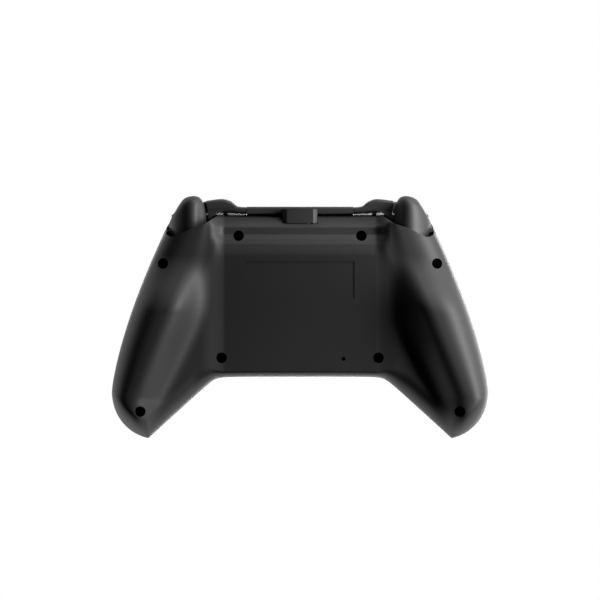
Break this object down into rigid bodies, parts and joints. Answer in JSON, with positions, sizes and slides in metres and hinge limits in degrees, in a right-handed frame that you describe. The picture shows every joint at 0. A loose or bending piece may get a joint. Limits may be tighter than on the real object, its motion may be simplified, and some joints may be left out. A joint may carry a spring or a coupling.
{
  "type": "gamepad controller",
  "caption": "Wireless two-hand gamepad with moulded grips, tilting thumb sticks, D-pad, face buttons, bumpers, sprung triggers and rumble motors in a two-part screwed housing.",
  "frame": {"origin": "on the table under the middle of the pad, which lies face up on its grips", "axes": "+X to the player's right, +Y towards the triggers, +Z out of the face"},
  "size_m": [0.153, 0.0984, 0.051],
  "materials": {
    "housing_plastic": "moulded, fine spark texture",
    "trim_plastic": "moulded, satin",
    "button_plastic": "moulded, polished",
    "stick_rubber": "moulded, matt",
    "port_metal": "drawn sheet",
    "socket_plastic": "moulded",
    "circuit_board": "solder mask",
    "fastener_steel": "zinc plated",
    "battery_wrap": "shrink wrap",
    "stick_module": "moulded",
    "mat_rubber": "silicone",
    "motor_steel": "drawn can"
  },
  "bodies": {
    "housing": {"rear_shell": "housing_plastic", "front_shell": "housing_plastic", "top_bridge": "trim_plastic", "port_shroud": "trim_plastic", "usb_port": "port_metal", "headset_jack": "socket_plastic", "trigger_sensors": "socket_plastic", "bumper_switches": "socket_plastic", "reset_switch": "socket_plastic", "main_board": "circuit_board", "board_screws": "fastener_steel", "shell_screws": "fastener_steel", "trigger_pins": "fastener_steel", "bumper_pins": "fastener_steel", "right_trigger_spring": "fastener_steel", "left_trigger_spring": "fastener_steel", "battery_pack": "battery_wrap", "left_stick_base": "stick_module", "right_stick_base": "stick_module", "dpad_post": "stick_module", "dpad_mat": "mat_rubber", "face_button_mat": "mat_rubber", "menu_mat": "mat_rubber", "right_motor": "motor_steel", "left_motor": "motor_steel"},
    "right_trigger": {"right_trigger": "trim_plastic"},
    "left_trigger": {"left_trigger": "trim_plastic"},
    "right_bumper": {"right_bumper": "trim_plastic"},
    "left_bumper": {"left_bumper": "trim_plastic"},
    "left_stick_yoke": {"left_stick_yoke": "stick_module"},
    "left_stick_pivot": {"left_stick_pivot": "stick_module"},
    "left_stick": {"left_stick_shaft": "stick_module", "left_stick_cap": "stick_rubber"},
    "right_stick_yoke": {"right_stick_yoke": "stick_module"},
    "right_stick_pivot": {"right_stick_pivot": "stick_module"},
    "right_stick": {"right_stick_shaft": "stick_module", "right_stick_cap": "stick_rubber"},
    "dpad_spider": {"dpad_spider": "fastener_steel"},
    "dpad": {"dpad_cross": "button_plastic"},
    "face_button_south": {"face_button_south": "button_plastic"},
    "face_button_east": {"face_button_east": "button_plastic"},
    "face_button_north": {"face_button_north": "button_plastic"},
    "face_button_west": {"face_button_west": "button_plastic"},
    "home_button": {"home_button": "button_plastic"},
    "menu_button": {"menu_button": "button_plastic"},
    "view_button": {"view_button": "button_plastic"},
    "reset_plunger": {"reset_plunger": "socket_plastic"},
    "right_motor_weight": {"right_motor_weight": "motor_steel"},
    "left_motor_weight": {"left_motor_weight": "motor_steel"}
  },
  "joints": [
    {"name": "right_trigger_pull", "type": "hinge", "parent": "housing", "child": "right_trigger", "pos_m": [0.0449, 0.036, 0.029], "axis": [-1, 0, 0], "range_deg": [0, 18], "stiffness_Nm_per_rad": 0.06, "springref_deg": -9.74, "deforming": ["right_trigger_spring"]},
    {"name": "right_bumper_press", "type": "hinge", "parent": "housing", "child": "right_bumper", "pos_m": [0.019, 0.0432, 0.029], "axis": [0, 0, -1], "range_deg": [0, 1.7], "stiffness_Nm_per_rad": 1, "springref_deg": -1.15},
    {"name": "left_trigger_pull", "type": "hinge", "parent": "housing", "child": "left_trigger", "pos_m": [-0.0449, 0.036, 0.029], "axis": [-1, 0, 0], "range_deg": [0, 18], "stiffness_Nm_per_rad": 0.06, "springref_deg": -9.74, "deforming": ["left_trigger_spring"]},
    {"name": "left_bumper_press", "type": "hinge", "parent": "housing", "child": "left_bumper", "pos_m": [-0.019, 0.0432, 0.029], "axis": [0, 0, 1], "range_deg": [0, 1.7], "stiffness_Nm_per_rad": 1, "springref_deg": -1.15},
    {"name": "left_stick_tilt_y", "type": "hinge", "parent": "housing", "child": "left_stick_yoke", "pos_m": [-0.038, 0.018, 0.0322], "axis": [1, 0, 0], "range_deg": [-18, 18], "stiffness_Nm_per_rad": 0.04},
    {"name": "left_stick_tilt_x", "type": "hinge", "parent": "left_stick_yoke", "child": "left_stick_pivot", "pos_m": [-0.038, 0.018, 0.0322], "axis": [0, 1, 0], "range_deg": [-18, 18], "stiffness_Nm_per_rad": 0.04},
    {"name": "left_stick_click", "type": "slide", "parent": "left_stick_pivot", "child": "left_stick", "axis": [0, 0, -1], "range_m": [0, 0.0006], "stiffness_N_per_m": 800, "springref_m": -0.001},
    {"name": "right_stick_tilt_y", "type": "hinge", "parent": "housing", "child": "right_stick_yoke", "pos_m": [0.0195, -0.005, 0.0322], "axis": [1, 0, 0], "range_deg": [-18, 18], "stiffness_Nm_per_rad": 0.04},
    {"name": "right_stick_tilt_x", "type": "hinge", "parent": "right_stick_yoke", "child": "right_stick_pivot", "pos_m": [0.0195, -0.005, 0.0322], "axis": [0, 1, 0], "range_deg": [-18, 18], "stiffness_Nm_per_rad": 0.04},
    {"name": "right_stick_click", "type": "slide", "parent": "right_stick_pivot", "child": "right_stick", "axis": [0, 0, -1], "range_m": [0, 0.0006], "stiffness_N_per_m": 800, "springref_m": -0.001},
    {"name": "dpad_rock_x", "type": "hinge", "parent": "housing", "child": "dpad_spider", "pos_m": [-0.0195, -0.005, 0.032], "axis": [0, 1, 0], "range_deg": [-3.5, 3.5], "stiffness_Nm_per_rad": 0.3, "deforming": ["dpad_mat"]},
    {"name": "dpad_rock_y", "type": "hinge", "parent": "dpad_spider", "child": "dpad", "pos_m": [-0.0195, -0.005, 0.032], "axis": [1, 0, 0], "range_deg": [-3.5, 3.5], "stiffness_Nm_per_rad": 0.3, "deforming": ["dpad_mat"]},
    {"name": "face_button_south_press", "type": "slide", "parent": "housing", "child": "face_button_south", "axis": [0, 0, -1], "range_m": [0, 0.0014], "stiffness_N_per_m": 300, "springref_m": -0.001, "deforming": ["face_button_mat"]},
    {"name": "face_button_east_press", "type": "slide", "parent": "housing", "child": "face_button_east", "axis": [0, 0, -1], "range_m": [0, 0.0014], "stiffness_N_per_m": 300, "springref_m": -0.001, "deforming": ["face_button_mat"]},
    {"name": "face_button_north_press", "type": "slide", "parent": "housing", "child": "face_button_north", "axis": [0, 0, -1], "range_m": [0, 0.0014], "stiffness_N_per_m": 300, "springref_m": -0.001, "deforming": ["face_button_mat"]},
    {"name": "face_button_west_press", "type": "slide", "parent": "housing", "child": "face_button_west", "axis": [0, 0, -1], "range_m": [0, 0.0014], "stiffness_N_per_m": 300, "springref_m": -0.001, "deforming": ["face_button_mat"]},
    {"name": "home_button_press", "type": "slide", "parent": "housing", "child": "home_button", "axis": [0, 0, -1], "range_m": [0, 0.0006], "stiffness_N_per_m": 500, "springref_m": -0.001, "deforming": ["menu_mat"]},
    {"name": "menu_button_press", "type": "slide", "parent": "housing", "child": "menu_button", "axis": [0, 0, -1], "range_m": [0, 0.0006], "stiffness_N_per_m": 500, "springref_m": -0.001, "deforming": ["menu_mat"]},
    {"name": "view_button_press", "type": "slide", "parent": "housing", "child": "view_button", "axis": [0, 0, -1], "range_m": [0, 0.0006], "stiffness_N_per_m": 500, "springref_m": -0.001, "deforming": ["menu_mat"]},
    {"name": "reset_press", "type": "slide", "parent": "housing", "child": "reset_plunger", "axis": [0, 0, 1], "range_m": [0, 0.00025], "stiffness_N_per_m": 500, "springref_m": -0.0005},
    {"name": "right_rumble_spin", "type": "hinge", "parent": "housing", "child": "right_motor_weight", "pos_m": [0.0538, 0.0077, 0.0185], "axis": [0, 1, 0], "continuous": true},
    {"name": "left_rumble_spin", "type": "hinge", "parent": "housing", "child": "left_motor_weight", "pos_m": [-0.0538, 0.0077, 0.0185], "axis": [0, 1, 0], "continuous": true}
  ]
}
